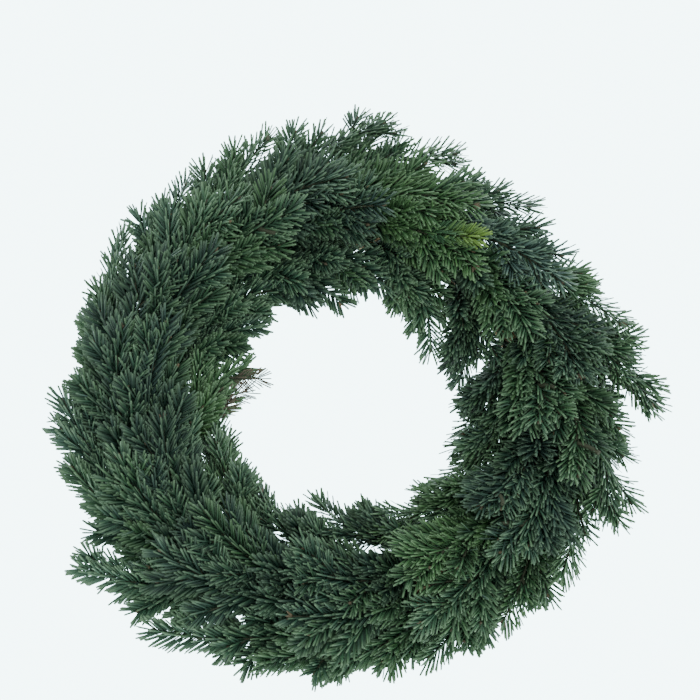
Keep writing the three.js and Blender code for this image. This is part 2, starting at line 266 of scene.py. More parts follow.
# %% [markdown]
# ## One needle
# A fir needle is a flat blade some 23 mm long and 2 mm wide, with a shallow groove on its glossy side, a
# keel underneath and a blunt tip. It is modelled once, one unit long: a four-cornered section is extruded
# and scaled at each step, and then its upper corners are pressed down into the groove. Tens of thousands of
# copies are needed, so it has 14 faces and no more.

# %% One needle
NEEDLE_WIDTH = 2.2 * MM
NEEDLE_THICKNESS = 0.9 * MM
GROOVE = 0.48 * MM  # how far the upper corners are pressed down, which leaves them just under the edges
ROOT_SHARE = 0.5  # of the full width
NEEDLE_STEPS = [(0.4, 2.0), (0.92, 0.98), (1.0, 0.68)]  # place along it, and width against the step before


def select_none():
    if bpy.context.object and bpy.context.object.mode != "OBJECT":
        bpy.ops.object.mode_set(mode="OBJECT")
    bpy.ops.object.select_all(action="DESELECT")


select_none()
upright = (0, math.radians(90), 0)
bpy.ops.mesh.primitive_circle_add(vertices=4, radius=0.5, fill_type="NGON", rotation=upright)
needle = bpy.context.object
bpy.ops.object.transform_apply(location=False, rotation=True, scale=True)
bpy.ops.object.mode_set(mode="EDIT")
bpy.ops.mesh.select_mode(type="FACE")
bpy.ops.mesh.select_all(action="SELECT")
bpy.ops.transform.resize(value=(1, NEEDLE_WIDTH * ROOT_SHARE, NEEDLE_THICKNESS))
reached = 0
for place, wider in NEEDLE_STEPS:
    bpy.ops.mesh.extrude_region_move(TRANSFORM_OT_translate={"value": (place - reached, 0, 0)})
    bpy.ops.transform.resize(value=(1, wider, 1), center_override=(place, 0, 0))
    reached = place
bpy.ops.mesh.select_all(action="DESELECT")
bpy.ops.mesh.select_mode(type="VERT")
bpy.ops.object.mode_set(mode="OBJECT")
for v in needle.data.vertices:
    v.select = v.co.z > NEEDLE_THICKNESS / 4
bpy.ops.object.mode_set(mode="EDIT")
bpy.ops.transform.translate(value=(0, 0, -GROOVE))
bpy.ops.mesh.select_all(action="SELECT")
bpy.ops.mesh.normals_make_consistent(inside=False)
bpy.ops.object.mode_set(mode="OBJECT")
PATTERN_POINTS = np.array([v.co for v in needle.data.vertices])
PATTERN_FACES = np.array([face.vertices for face in needle.data.polygons])
bpy.data.objects.remove(needle)
print("needle", len(PATTERN_POINTS), "points", len(PATTERN_FACES), "faces")

# %% [markdown]
# ## How the needles stand
# Needles leave a fir twig in a spiral, one golden angle after another, but they don't stay in it: those from
# the shaded side turn outwards, and all lean towards the tip. Seen from the light side, the needles on each
# side of the twig lie parallel like the teeth of a comb, so the upper ones, which stand nearer to the line
# of sight, lean further out. The last few stand forward round the bud. A table of numbers per needle is
# worked out with arrays here, because tens of thousands of operator calls would take hours. The ranges give
# the least and the most, and all angles are in degrees.

# %% Needle places on a twig
GOLDEN_TURN = 137.508
LEAST_HEIGHT = 1.5 * MM  # over the surface that the wreath lies on
STRAW_CLEAR = 1.5 * MM
NEEDLE_LENGTH = 26 * MM
LENGTH_RANGE = (0.82, 1.04)
WIDTH_RANGE = (0.88, 1.08)
BEND_RANGE = (0, 0.09)  # of a needle's length, towards the twig's tip
FEWEST = 12  # on one twig
ROOT_SUNK = 0.6  # of the twig's radius from its middle, so that roots start inside the bark
START_ZONE = 18 * MM  # length at the twig's start where the needles are shorter
START_SHORTER = 0.75
TIP_CROWN = 14 * MM  # length at the twig's end where the needles turn forward
CROWN_NARROWER = 0.72
CROWN_SHORTER = 0.84
LOWEST_TURN = 106  # from the light side, past which no needle stands
TURN_POWER = 0.85  # under 1, so that more needles stand at the twig's sides than above it
TURN_SPREAD = 6
COMB_ANGLE = 37  # between the twig and its needles, seen from the light side
COMB_SPREAD = 4
STEEPEST = 0.42  # sine of the turn under which needles lean no further out
COVER_BAND = 18  # most needles within it lie forward over the twig and cover it
COVER_SHARE = 0.75
COVER_LEAN = 20
COVER_LIFT = 1.2
LEAN_RANGE = (6, 75)
LEAN_SPREAD = 2.5
ASTRAY_SHARE = 0.06  # of the needles, which stand at odd angles
ASTRAY_SPREAD = 14
TWIST_SPREAD = 0.26


def grow_needles(twig, per_mm, parted, longest, luck):
    """Places, directions, sizes and bends of the needles along a twig, as a dict of arrays."""
    count = max(FEWEST, int((twig.length - twig.bare) / MM * per_mm))
    order = np.arange(count)
    distance = twig.bare + (twig.length - twig.bare) * (order + luck.random(count)) / count
    share = distance / twig.length
    point, runs, sky = twig.at(distance)
    turn = (order * GOLDEN_TURN + luck.normal(0, TURN_SPREAD, count) + 180) % 360 - 180
    turn = np.sign(turn) * lerp(parted, LOWEST_TURN, (np.abs(turn) / 180) ** TURN_POWER)
    above, aside = np.cos(np.radians(turn)), np.sin(np.radians(turn))
    radial = sky * above[:, None] + np.cross(runs, sky) * aside[:, None]
    crown = np.clip((distance - twig.length + TIP_CROWN) / TIP_CROWN, 0, 1)
    spread = np.radians(COMB_ANGLE + luck.normal(0, COMB_SPREAD)) * lerp(1, CROWN_NARROWER, crown)
    lean = np.degrees(np.arctan(np.tan(spread) / np.maximum(np.abs(aside), STEEPEST)))
    cover = (np.abs(turn) < parted + COVER_BAND) & (luck.random(count) < COVER_SHARE)
    lean = np.where(cover, COVER_LEAN, lean)
    radial = np.where(cover[:, None], unit(radial + sky * COVER_LIFT), radial)
    astray = np.where(luck.random(count) < ASTRAY_SHARE, ASTRAY_SPREAD, LEAN_SPREAD)
    lean = np.radians(np.clip(lean + luck.normal(0, 1, count) * astray, *LEAN_RANGE))[:, None]
    way = radial * np.sin(lean) + runs * np.cos(lean)
    start = np.clip((distance - twig.bare) / START_ZONE, 0, 1)
    length = longest * lerp(*LENGTH_RANGE, luck.random(count))
    length = length * lerp(START_SHORTER, 1, start) * lerp(1, CROWN_SHORTER, crown)
    thick = lerp(twig.thick, twig.thin, share)[:, None]
    root = point + radial * thick * ROOT_SUNK
    way = keep_clear(root, way, length)
    up = sky + luck.normal(0, TWIST_SPREAD, (count, 3))
    up = unit(up - way * dot(up, way))
    bend = unit(runs - way * dot(runs, way)) * lerp(*BEND_RANGE, luck.random(count))[:, None]
    width = lerp(*WIDTH_RANGE, luck.random(count))
    return dict(root=root, way=way, up=up, length=length, width=width, bend=bend, above=above, share=share)


def keep_clear(root, way, length):
    """Turns needles that would dive into the straw or under the surface, until their tips are just clear."""
    for _ in range(3):
        tip = root + way * length[:, None]
        centre = section_centre(tip)
        away = tip - centre
        gap = np.linalg.norm(away, axis=1, keepdims=True)
        least = STRAW_RADIUS + STRAW_CLEAR
        tip = np.where(gap < least, centre + away / gap * least, tip)
        tip[:, 2] = np.maximum(tip[:, 2], LEAST_HEIGHT)
        way = unit(tip - root)
    return way


trial = grow_needles(example, 2.2, 0, NEEDLE_LENGTH, np.random.default_rng(1))["length"]
print("needles tried on that twig", len(trial), "mean mm", round(trial.mean() / MM, 1))

# %% [markdown]
# Copies of the needle are laid into one mesh for each spray. Each copy is stretched to its own length and
# bent a little towards the tip of its twig. Two attributes go with it for the material: where on the needle
# a point is, and the needle's own tone.

# %% Laying copies into a mesh


def mesh_of(name, points, faces, **attributes):
    """A mesh object of four-cornered faces. Each point has a row of three numbers in each attribute."""
    mesh = bpy.data.meshes.new(name)
    mesh.vertices.add(points.size // 3)
    mesh.vertices.foreach_set("co", points.ravel())
    mesh.loops.add(faces.size)
    mesh.loops.foreach_set("vertex_index", faces.ravel())
    mesh.polygons.add(faces.size // 4)
    mesh.polygons.foreach_set("loop_start", np.arange(0, faces.size, 4))
    mesh.update(calc_edges=True)
    for title, values in attributes.items():
        values = np.concatenate([values, np.ones((len(values), 1))], axis=1)
        mesh.attributes.new(title, "FLOAT_COLOR", "POINT").data.foreach_set("color", values.ravel())
    made = bpy.data.objects.new(name, mesh)
    bpy.context.scene.collection.objects.link(made)
    return made


def lay_copies(name, pattern, grown):
    """Copies of a small pattern, one unit long, at all the places in grown, with each one's tone."""
    pattern_points, pattern_faces, lit = pattern
    count = len(grown["length"])
    x, y, z = pattern_points.T[:, None, :, None]
    across = np.cross(grown["up"], grown["way"])[:, None]
    length = grown["length"][:, None, None]
    width = grown["width"][:, None, None]
    points = grown["root"][:, None] + grown["way"][:, None] * x * length
    points = points + grown["bend"][:, None] * x * x * length + across * y * width + grown["up"][:, None] * z
    faces = pattern_faces[None] + (np.arange(count) * len(pattern_points))[:, None, None]
    where = np.tile(np.stack([pattern_points[:, 0], lit, 0 * lit], axis=-1), (count, 1))
    tones = np.repeat(np.clip(grown["tone"], 0, 1), len(pattern_points), axis=0)
    return mesh_of(name, points, faces, on_needle=where, tone=tones)


def joined(parts):
    """One dict of arrays from several."""
    return {key: np.concatenate([part[key] for part in parts]) for key in parts[0]}


on_edge = np.abs(PATTERN_POINTS[:, 1]) > 0
NEEDLE_LIT = np.where(PATTERN_POINTS[:, 2] < -NEEDLE_THICKNESS / 4, 0, np.where(on_edge, 0.5, 1))
NEEDLE = (PATTERN_POINTS, PATTERN_FACES, NEEDLE_LIT)
print("needle points on the keel, edges and groove", [int(np.sum(NEEDLE_LIT == x)) for x in (0, 0.5, 1)])

# %% [markdown]
# ## One bud
# Each fir twig ends in small brown buds covered in scales and resin: three together on a strong twig, one on
# a weak one. A cube that is subdivided and pushed onto a sphere has only four-cornered faces and no poles,
# so it takes the same copying as the needle. Its outer part is drawn in to a blunt point.

# %% One bud
BUD_THICKNESS = 3.6 * MM
BUD_SHOULDER = 0.6  # place along it, past which it is drawn in
BUD_POINT = 0.68

select_none()
bpy.ops.mesh.primitive_cube_add(size=1, location=(0.5, 0, 0))
bud = bpy.context.object
bpy.ops.object.transform_apply(location=True)
bpy.ops.object.mode_set(mode="EDIT")
bpy.ops.mesh.select_all(action="SELECT")
bpy.ops.mesh.subdivide(number_cuts=2)
bpy.ops.transform.tosphere(value=1)
bpy.ops.object.mode_set(mode="OBJECT")
low, high = min(v.co.x for v in bud.data.vertices), max(v.co.x for v in bud.data.vertices)
bpy.ops.object.mode_set(mode="EDIT")
bpy.ops.transform.translate(value=(-low, 0, 0))
bpy.ops.transform.resize(value=[1 / (high - low)] * 3, center_override=(0, 0, 0))
bpy.ops.transform.resize(value=(1, BUD_THICKNESS, BUD_THICKNESS), center_override=(0, 0, 0))
bpy.ops.mesh.select_all(action="DESELECT")
bpy.ops.mesh.select_mode(type="VERT")
bpy.ops.object.mode_set(mode="OBJECT")
for v in bud.data.vertices:
    v.select = v.co.x > BUD_SHOULDER
bpy.ops.object.mode_set(mode="EDIT")
bpy.ops.transform.resize(value=(1, BUD_POINT, BUD_POINT), center_override=(BUD_SHOULDER, 0, 0))
bpy.ops.object.mode_set(mode="OBJECT")
bud_points = np.array([v.co for v in bud.data.vertices])
BUD = (bud_points, np.array([face.vertices for face in bud.data.polygons]), np.ones(len(bud_points)))
bpy.data.objects.remove(bud)
print("bud", len(bud_points), "points, from", round(low, 2), "to", round(high, 2), "before it was placed")


def grow_buds(twig, turns, length, luck):
    """Buds at a twig's end: one straight on, and one to each side for every turn in turns."""
    point, runs, sky = twig.at(np.full(1 + len(turns), twig.length))
    beside = np.cross(runs, sky)
    turns = np.radians(np.array([0, *turns]))[:, None]
    way = unit(runs * np.cos(turns) + beside * np.sin(turns) + sky * 0.25)
    up = unit(sky - way * dot(sky, way))
    count = len(turns)
    return dict(
        root=point - runs * MM, way=way, up=up, length=length * lerp(0.8, 1.1, luck.random(count)),
        width=lerp(0.85, 1.1, luck.random(count)), bend=way * 0, tone=luck.random((count, 3)),
    )


# %% [markdown]
# ## Bark
# Twigs are drawn as curves with a round bevel, thick at the cut end and thin at the tip, and turned into
# closed tubes. One curve object holds all the twigs of a spray.

# %% Twigs as tubes
TUBE_STEP = 3  # every third point of a twig is enough for its tube


def as_mesh(made):
    select_none()
    made.select_set(True)
    bpy.context.view_layer.objects.active = made
    bpy.ops.object.convert(target="MESH")
    return bpy.context.object


def draw_twigs(name, twigs):
    curve = bpy.data.curves.new(name, "CURVE")
    curve.dimensions = "3D"
    curve.bevel_depth = 1
    curve.bevel_resolution = 1
    curve.use_fill_caps = True
    for twig in twigs:
        points = twig.points[::TUBE_STEP]
        line = curve.splines.new("POLY")
        line.points.add(len(points) - 1)
        line.points.foreach_set("co", np.concatenate([points, np.ones((len(points), 1))], axis=1).ravel())
        line.points.foreach_set("radius", np.linspace(twig.thick, twig.thin, len(points)))
    made = bpy.data.objects.new(name, curve)
    bpy.context.scene.collection.objects.link(made)
    return as_mesh(made)


def join(pieces):
    """Joins pieces to the first of them."""
    select_none()
    for piece in pieces:
        piece.select_set(True)
    bpy.context.view_layer.objects.active = pieces[0]
    bpy.ops.object.join()
    return pieces[0]


# %% [markdown]
# ## Materials
# A small class turns sums, differences and products of sockets into Math nodes, so that shader maths reads
# like any other.

# %% Shader maths as expressions


class Value:
    """A socket that holds a number. + - and * with sockets or numbers add Math nodes."""

    def __init__(self, shop, socket):
        self.shop, self.socket = shop, socket

    def _maths(self, operation, *values):
        return self.shop.node("ShaderNodeMath", {"operation": operation}, values)

    def __add__(self, other):
        return self._maths("ADD", self, other)

    __radd__ = __add__

    def __mul__(self, other):
        return self._maths("MULTIPLY", self, other)

    __rmul__ = __mul__

    def __sub__(self, other):
        return self._maths("SUBTRACT", self, other)

    def __rsub__(self, other):
        return self._maths("SUBTRACT", other, self)

    def clamped(self):
        return self.shop.node("ShaderNodeClamp", {}, [self])

    def band(self, low, high):
        """0 below low, 1 above high, and smooth between."""
        settings = {"interpolation_type": "SMOOTHSTEP"}
        return self.shop.node("ShaderNodeMapRange", settings, [self, low, high, 0.0, 1.0])


class Finish:
    """One material and the nodes that are added to it."""

    def __init__(self, name, roughness=0.5, **settings):
        self.material = bpy.data.materials.new(name)
        self.material.use_nodes = True
        self.tree = self.material.node_tree
        self.shader = self.tree.nodes["Principled BSDF"]
        self.shader.inputs["Roughness"].default_value = roughness
        for title, value in settings.items():
            self.shader.inputs[title.replace("_", " ")].default_value = value

    def node(self, kind, settings, values, output=0):
        node = self.tree.nodes.new(kind)
        for title, value in settings.items():
            setattr(node, title, value)
        pairs = values.items() if isinstance(values, dict) else enumerate(values)
        for key, value in pairs:
            if isinstance(value, Value):
                self.tree.links.new(value.socket, node.inputs[key])
            else:
                node.inputs[key].default_value = value
        return Value(self, node.outputs[output])

    def mix(self, share, a, b):
        """A colour mixed from two colours."""
        a, b = ((*c, 1) if isinstance(c, tuple) else c for c in (a, b))
        return self.node("ShaderNodeMix", {"data_type": "RGBA"}, {0: share, 6: a, 7: b}, output=2)

    def noise(self, scale, detail=2.0, **more):
        """Noise from 0 to 1. Its scale counts the spots across the piece's own box."""
        return self.node("ShaderNodeTexNoise", {}, {"Scale": scale, "Detail": detail, **more})

    def attribute(self, title):
        """The three numbers that a piece's attribute holds at each point."""
        held = self.node("ShaderNodeAttribute", {"attribute_name": title}, [])
        parted = self.node("ShaderNodeSeparateColor", {}, [held])
        return [Value(self, socket) for socket in parted.socket.node.outputs]

    def feed(self, title, value):
        self.tree.links.new(value.socket, self.shader.inputs[title])

    def bump(self, height, strength, distance):
        """Raises the surface by a height, and feeds it to the shader."""
        settings = {"Strength": strength, "Distance": distance, "Height": height}
        self.feed("Normal", self.node("ShaderNodeBump", {}, settings))

    @property
    def surface(self):
        return Value(self, self.shader.outputs[0])

    def show(self, surface):
        self.tree.links.new(surface.socket, self.tree.nodes["Material Output"].inputs["Surface"])


# %% [markdown]
# ## The needles' finish
# A fir needle is dark blue-green and waxy. Its upper side is glossier, its underside has two pale lines of
# wax beside the keel, and young ones are brighter and yellower. Each needle is painted darker at its root,
# as painted shade among the crowded needles, and lighter towards its tip, partly its own colour and partly a
# painted highlight. The tone attribute holds how light, how young and how blue each needle is, and its
# lightness also carries painted light and shade.

# %% Needle finish
DEEP_GREEN = (0.018, 0.044, 0.031)
MID_GREEN = (0.048, 0.118, 0.065)
YOUNG_GREEN = (0.082, 0.205, 0.048)
BLUE_WAX = (0.108, 0.188, 0.185)
PALE_LINE = (0.16, 0.25, 0.23)
TIP_GREEN_AND_HIGHLIGHT = (0.20, 0.32, 0.18)

fir = Finish("fir_needles", roughness=0.42, Specular_IOR_Level=0.32)
along, lit, _ = fir.attribute("on_needle")
light, young, blue = fir.attribute("tone")
# Each needle's root is painted darker than its tip, as painted shade where the needles crowd on the twig,
# and the tone's lightness, painted light and shade included, sets how far it goes from deep to middle green.
colour = fir.mix(light * (0.45 + along * 0.7), DEEP_GREEN, MID_GREEN)
colour = fir.mix(young * (0.2 + along * 0.8), colour, YOUNG_GREEN)
colour = fir.mix(blue * (0.2 + along * 0.5), colour, BLUE_WAX)
under = 1 - lit.band(0.30, 0.46)
keel = 1 - lit.band(0.04, 0.12)
colour = fir.mix((under - keel).clamped() * 0.6, colour, PALE_LINE)
# The tip's lighter yellow-green is partly the needle's own colour and partly a painted highlight, stronger
# on lighter needles.
colour = fir.mix(along.band(0.5, 1.05) * (0.3 + light * 0.4), colour, TIP_GREEN_AND_HIGHLIGHT)
fir.feed("Base Color", colour)
patchy = fir.noise(350.0)
fir.feed("Roughness", (0.30 + under * 0.22 + blue * 0.12 + patchy * 0.12).clamped())
print("needle finish", len(fir.tree.nodes), "nodes")

# %% [markdown]
# Bark is a dark grey-brown with a green cast and fine cracks. Buds are brown, with drops of pale resin.
# Where a twig was cut, its wood is pale with a darker grain. Needles that have dried turn a dull grey-brown,
# lightest at their tips. A young shoot goes from the green of the older needles to a bright yellow-green,
# and its tone attribute holds how young each needle is.

# %% Bark, buds, cut wood, dry needles and the young shoot
BARK_DARK, BARK_LIGHT = (0.024, 0.032, 0.016), (0.070, 0.078, 0.040)
BUD_DARK, BUD_LIGHT = (0.055, 0.048, 0.026), (0.15, 0.115, 0.060)
RESIN = (0.28, 0.22, 0.15)
WOOD_GRAIN, PALE_WOOD = (0.42, 0.34, 0.22), (0.66, 0.58, 0.44)
DRY_ROOT, DRY_TIP, DRY_PATCH = (0.062, 0.055, 0.038), (0.175, 0.150, 0.105), (0.125, 0.105, 0.070)
SHOOT_TIP = (0.25, 0.41, 0.080)
BARK_DEPTH = 0.3 * MM

bark = Finish("fir_bark", roughness=0.8)
cracks = bark.noise(900.0, 4.0)
bark.feed("Base Color", bark.mix(cracks.band(0.35, 0.7), BARK_DARK, BARK_LIGHT))
bark.bump(cracks, strength=0.5, distance=BARK_DEPTH)

buds = Finish("fir_buds", roughness=0.5)
bud_share = buds.attribute("tone")[0]
resin = buds.noise(1400.0)
bud_colour = buds.mix(bud_share, BUD_DARK, BUD_LIGHT)
buds.feed("Base Color", buds.mix(resin.band(0.52, 0.72) * 0.4, bud_colour, RESIN))
buds.bump(resin, strength=0.6, distance=BARK_DEPTH)

cut_wood = Finish("cut_wood", roughness=0.7)
cut_wood.feed("Base Color", cut_wood.mix(cut_wood.noise(1200.0), WOOD_GRAIN, PALE_WOOD))

dry = Finish("dry_needles", roughness=0.65)
dry_colour = dry.mix(dry.attribute("on_needle")[0], DRY_ROOT, DRY_TIP)
dry.feed("Base Color", dry.mix(dry.noise(500.0) * 0.5, dry_colour, DRY_PATCH))

shoot = Finish("young_shoot", roughness=0.42)
shoot_colour = shoot.mix(shoot.attribute("tone")[0], MID_GREEN, SHOOT_TIP)
shoot.feed("Base Color", shoot.mix(shoot.noise(300.0) * 0.4, shoot_colour, YOUNG_GREEN))
print("finishes", [finish.material.name for finish in (fir, bark, buds, cut_wood, dry, shoot)])

# %% [markdown]
# ## The sprays
# Each spray is a main twig and its side twigs with all their needles, joined to one piece that stands in for
# its solid. A fir shoot branches in pairs, so the fine spray has more side twigs than its solid, between the
# same ends. The lists of side twigs here are written as in ROWS.

# %% Side twigs of the sprays
EXTRA_SIDES = {
    "outer": [(0.30, 150, 50), (0.60, -6, 30), (0.66, 170, 38)],
    "shoulder": [(0.22, 160, 52), (0.66, -12, 42), (0.72, 165, 38)],
    "face": [(0.22, 195, 52), (0.40, 12, 46), (0.64, 190, 40), (0.66, 12, 38)],
    "inner": [(0.18, 20, 50), (0.34, 8, 46), (0.5, 16, 46), (0.64, 4, 36)],
}
UNDER_SIDES = {  # on the shaded side, where they close the view between the upper ones
    "outer": [
        (0.05, -30, 46), (0.18, -38, 46), (0.34, -45, 42), (0.50, -40, 34), (0.28, 205, 46),
        (0.12, 175, 46), (0.52, 205, 36),
    ],
    "shoulder": [
        (0.06, -30, 54), (0.24, -35, 52), (0.44, -35, 46), (0.60, -30, 38), (0.16, 200, 50),
        (0.44, 210, 42), (0.04, 60, 40),
    ],
    "face": [
        (0.08, -25, 54), (0.12, 208, 54), (0.34, -30, 48), (0.36, 212, 46), (0.04, 178, 50),
        (0.2, 176, 46), (0.05, 60, 40), (0.05, 120, 42),
    ],
    "inner": [
        (0.04, 205, 46), (0.14, 180, 46), (0.24, 222, 42), (0.34, 178, 40), (0.46, 172, 38),
        (0.48, 216, 32), (0.28, -30, 46), (0.10, 95, 46), (0.25, 135, 46), (0.6, 200, 26),
    ],
}
MORE_SIDES = {  # what one spray has besides
    "spray_outer_05": [(0.8, 5, 28), (0.9, 182, 38)],
    "spray_outer_06": [(0.3, 5, 56), (0.86, 182, 38)],
    "spray_outer_09": [(0.74, -10, 32), (0.74, 170, 32), (0.5, 178, 50), (0.86, 176, 30)],
    "spray_outer_10": [(0.75, -8, 44), (0.78, 174, 38), (0.9, 0, 26)],
    "spray_outer_16": [(0.1, 0, 50), (0.25, -5, 50)],
    "spray_outer_17": [(0.76, 178, 40)],
    "spray_outer_19": [(0.7, -5, 28)],
    "spray_shoulder_12": [(0.3, 165, 50)],
    "spray_face_01": [(0.35, 205, 56), (0.7, 205, 46)],
    "spray_face_04": [(0.2, 195, 46)],
    "spray_face_05": [(0.4, 205, 50)],
    "spray_face_06": [(0.4, 205, 50)],
    "spray_face_09": [(0.62, 5, 46), (0.8, 0, 40)],
    "spray_face_10": [(0.03, 5, 44), (0.1, -10, 44), (0.64, 196, 50)],
    "spray_face_12": [(0.3, 205, 60), (0.55, 208, 54), (0.8, 200, 46)],
    "spray_inner_01": [(0.12, 150, 50), (0.3, 150, 48), (0.42, 0, 46), (0.2, 120, 50), (0.58, 10, 42)],
    "spray_inner_04": [(0.3, 140, 46), (0.45, 20, 44)],
    "spray_inner_05": [(0.5, 184, 40), (0.2, 150, 46), (0.75, 10, 46), (0.9, 5, 38)],
    "spray_inner_06": [(0.15, 150, 48), (0.35, 150, 44), (0.15, 0, 46), (0.3, -10, 46)],
    "spray_inner_07": [(0.5, 184, 38), (0.15, 150, 48), (0.35, 140, 44)],
    "spray_inner_10": [(0.62, 5, 46), (0.78, 8, 40)],
    "spray_inner_11": [(0.3, 182, 40), (0.55, 10, 44), (0.06, 0, 46), (0.16, -15, 44)],
    "spray_inner_12": [(0.5, 182, 44), (0.3, 176, 50), (0.2, 150, 46)],
    "spray_inner_13": [
        (0.45, 184, 40), (0.7, 186, 32), (0.6, 15, 50), (0.76, 8, 46), (0.9, 15, 40), (0.15, 150, 46),
        (0.4, 150, 42), (0.5, 0, 56), (0.68, -20, 50), (0.84, -10, 44), (0.7, 80, 40),
    ],
}
print("sprays with side twigs of their own", len(MORE_SIDES))

# %% [markdown]
# No two sprays on a wreath have the same green. Each gets one of six tones, and its twigs and needles vary
# round it. Needles towards a twig's tip are lighter. Needles on a twig's light side are painted lighter and
# those of the shaded side twigs painted darker, as painted light and shade, and the shaded ones are also
# wider and closer together, so that the foliage looks deep and closed. Each row has painted light or shade
# as well: the outer row is painted lighter, as if lit round the rim, and the others darker, the face most.

# %% Tones and spreads of the sprays
TONES = {  # light, young and blue, each from 0 to 1
    "m": (0.42, 0.12, 0.06),  # middle green
    "d": (0.25, 0.03, 0.10),  # deep green
    "l": (0.68, 0.32, 0.03),  # light green
    "y": (0.70, 0.62, 0.00),  # young, yellow-green
    "b": (0.48, 0.02, 0.50),  # with a blue bloom
    "p": (0.80, 0.18, 0.36),  # pale
}
# The outer row has mostly light and pale tones and the face row mostly deep ones, which also paints light on
# the rim and shade on the face.
LOOKS = {  # a letter for each spray, in the order of its row's tips
    "outer": "llplmlmyllmllllmplp",
    "shoulder": "mdlmybdldlmdm",
    "face": "dmldylldymdd",
    "inner": "ymmdmlmdlydml",
}
# Painted light on the outer row, as if lit round the rim, and painted shade on the other rows, most on the
# face.
ROW_PAINTED_LIGHT_AND_SHADE = {"outer": 0.22, "shoulder": -0.18, "face": -0.28, "inner": -0.04}
ROW_REACH = {"outer": 0.96, "shoulder": 1.04, "face": 1.04, "inner": 0.9}  # needle length
PER_MM = {"outer": 1.2, "shoulder": 1.0, "face": 1.0, "inner": 1.1}  # needles along a twig
TONE_SPREAD = np.array([0.13, 0.07, 0.06])
TWIG_SPREAD = np.array([0.24, 0.13, 0.09])
TIP_LIGHTER = 0.55  # the needles at a twig's tip against those at its butt
MIDDLE_SHARE = 0.6  # place on a twig where that changes nothing
# Needles on a twig's light side are painted lighter: painted light.
ABOVE_PAINTED_LIGHT = 0.45  # the needles on the light side against those at the twig's sides
MIDDLE_ABOVE = 0.4
UNDER_PER_MM = 1.9
UNDER_WIDER = 1.3
# The needles of the shaded side twigs are painted darker: painted shade.
UNDER_PAINTED_SHADE = 0.38
PLACE_SPREAD = 0.05  # how far side twigs may stray from what their row says
ACROSS_SPREAD = 16
SIDE_LENGTHS = (0.8, 1.15)
SIDE_SPLITS = (0.6, 1.0)
SIDE_BENDS = (0.1, 0.6)
WANDER = 5 * MM  # how far a side twig may end from its straight course
PARTINGS = [14, 20, 26]  # degrees from the light side to the first needles
SPRAY_LENGTHS = (0.9, 1.06)
STRONG_SHARE = 0.35  # of the sprays, which end in three large buds
STRONG_END = ((-38, 38), 7.5 * MM)  # turns of the outer two buds, and the buds' length
WEAK_END = ((), 5 * MM)
SIDE_END = ((), 4.5 * MM)


def barked_twigs(name, twigs):
    """Twigs with bark, and cut wood on their ends, which alone have more than four corners."""
    tubes = draw_twigs(name, twigs)
    tubes.data.materials.append(bark.material)
    tubes.data.materials.append(cut_wood.material)
    for face in tubes.data.polygons:
        face.material_index = int(face.loop_total > 4)
    return tubes


def finish_piece(piece, slot, *replaced):
    if replaced:
        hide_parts(*replaced)
    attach(piece, "root")


print("sprays of each tone", {tone: sum(row.count(tone) for row in LOOKS.values()) for tone in TONES})

# %% Growing the sprays


def spray_twigs(name, row_name, tip, luck):
    """A spray's twigs, the main one first, and how many of them aren't on the shaded side."""
    row = ROWS[row_name]
    main = main_twig(row, tip)
    sides = list(row["sides"])
    if len(tip) > 3:
        sides[0] = (*sides[0][:2], tip[3])
    twigs = [main] + [side_twig(main, *side) for side in sides]
    upper_sides = EXTRA_SIDES[row_name] + MORE_SIDES.get(name, [])
    upper = len(twigs) + len(upper_sides)
    for place, across, length in upper_sides + UNDER_SIDES[row_name]:
        place += luck.uniform(-PLACE_SPREAD, PLACE_SPREAD)
        across += luck.uniform(-ACROSS_SPREAD, ACROSS_SPREAD)
        length *= luck.uniform(*SIDE_LENGTHS)
        split = SPLIT * luck.uniform(*SIDE_SPLITS)
        twigs.append(side_twig(main, place, across, length, bend=luck.uniform(*SIDE_BENDS), split=split))
        twigs[-1].bow(luck.uniform(-1, 1, 3) * WANDER)
    return twigs, upper


def grow_spray(name, row_name, tip, letter, seed):
    luck = np.random.default_rng(seed)
    twigs, upper = spray_twigs(name, row_name, tip, luck)
    parted = luck.choice(PARTINGS)
    longest = NEEDLE_LENGTH * ROW_REACH[row_name] * luck.uniform(*SPRAY_LENGTHS)
    # The row's painted light or shade is added to the spray's own tone.
    base = np.array(TONES[letter]) + [ROW_PAINTED_LIGHT_AND_SHADE[row_name], 0, 0]
    grown = []
    for i, twig in enumerate(twigs):
        shaded = i >= upper
        part = grow_needles(twig, UNDER_PER_MM if shaded else PER_MM[row_name], parted, longest, luck)
        varied = luck.normal(0, 1, 3) * TWIG_SPREAD
        tone = base + varied + luck.normal(0, 1, (len(part["length"]), 3)) * TONE_SPREAD
        from_tip, from_above = part["share"] - MIDDLE_SHARE, part["above"] - MIDDLE_ABOVE
        # Painted light on each twig's light side, and painted shade on the shaded side twigs, on top of the
        # lighter tip.
        tone[:, 0] += from_tip * TIP_LIGHTER + from_above * ABOVE_PAINTED_LIGHT
        tone[:, 0] -= shaded * UNDER_PAINTED_SHADE
        part["tone"] = tone
        part["width"] = part["width"] * (UNDER_WIDER if shaded else 1)
        grown.append(part)
    grown = joined(grown)
    needles = lay_copies(name, NEEDLE, grown)
    needles.data.materials.append(fir.material)
    tubes = barked_twigs(name + "_twigs", twigs)
    ends = [grow_buds(twigs[0], *(STRONG_END if luck.random() < STRONG_SHARE else WEAK_END), luck)]
    ends += [grow_buds(twig, *SIDE_END, luck) for twig in twigs[1:upper]]
    tips = lay_copies(name + "_buds", BUD, joined(ends))
    tips.data.materials.append(buds.material)
    return join([needles, tubes, tips]), len(grown["length"])


